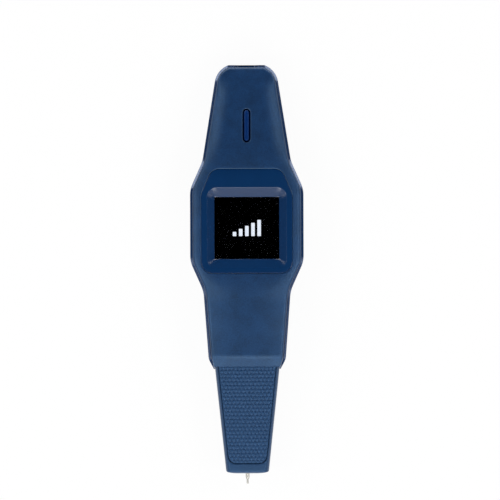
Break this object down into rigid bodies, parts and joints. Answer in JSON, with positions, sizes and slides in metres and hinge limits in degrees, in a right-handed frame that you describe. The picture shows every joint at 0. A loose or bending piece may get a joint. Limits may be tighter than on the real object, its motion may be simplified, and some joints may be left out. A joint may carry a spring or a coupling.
{
  "type": "diamond tester",
  "caption": "Slim handheld gem tester: necked two-shell case, sunken square display, long push button, tapered nose with diamond-textured grips and a spring-loaded metal probe.",
  "frame": {"origin": "middle of the overall length and width, on the plane the flat back lies on", "axes": "+X to the right as seen with the display up and the probe towards the viewer, +Y from the probe tip to the tail, +Z out of the display"},
  "size_m": [0.0478, 0.1766, 0.022],
  "materials": {
    "front_case": "navy, fine leather grain, satin",
    "rear_case": "navy, smooth, half gloss",
    "nose_case": "navy, smooth satin",
    "grip": "navy, moulded diamond pattern",
    "bezel": "dark navy, half gloss",
    "window": "smoked, polished",
    "panel": "black",
    "foam": "black foam",
    "holder": "white",
    "ribbon": "amber film",
    "connector": "cream",
    "board": "green solder mask",
    "chip": "black moulding",
    "plunger": "cream",
    "button": "saturated navy, gloss",
    "socket": "plated sheet",
    "cell": "foil pouch",
    "lead": "insulated wire",
    "screw": "dark plated",
    "tip": "polished",
    "bush": "natural white",
    "barrel": "turned",
    "spring": "bright wire"
  },
  "bodies": {
    "housing": {"front_shell": "front_case", "rear_shell": "rear_case", "nose_sleeve": "nose_case", "front_grip": "grip", "rear_grip": "grip", "screen_bezel": "bezel", "display_window": "window", "display_gasket": "foam", "display_panel": "panel", "display_holder": "holder", "display_flex": "ribbon", "flex_connector": "connector", "main_board": "board", "board_chips": "chip", "push_switch": "chip", "charging_socket": "socket", "socket_tongue": "chip", "battery": "cell", "battery_pad": "foam", "battery_leads": "lead", "battery_connector": "connector", "sounder": "chip", "case_screws": "screw", "probe_sleeve": "tip", "probe_bush": "bush", "probe_barrel": "barrel", "probe_spring": "spring", "probe_plug": "bush", "probe_leads": "lead", "probe_connector": "connector"},
    "power_button": {"button_cap": "button", "switch_plunger": "plunger"},
    "probe": {"probe_tip": "tip", "probe_carrier": "barrel"}
  },
  "joints": [
    {"name": "button_press", "type": "slide", "parent": "housing", "child": "power_button", "axis": [0, 0, -1], "range_m": [0, 0.0005], "stiffness_N_per_m": 3000},
    {"name": "probe_retract", "type": "slide", "parent": "housing", "child": "probe", "axis": [0, 1, 0], "range_m": [0, 0.0015], "stiffness_N_per_m": 400, "deforming": ["probe_spring"]}
  ]
}
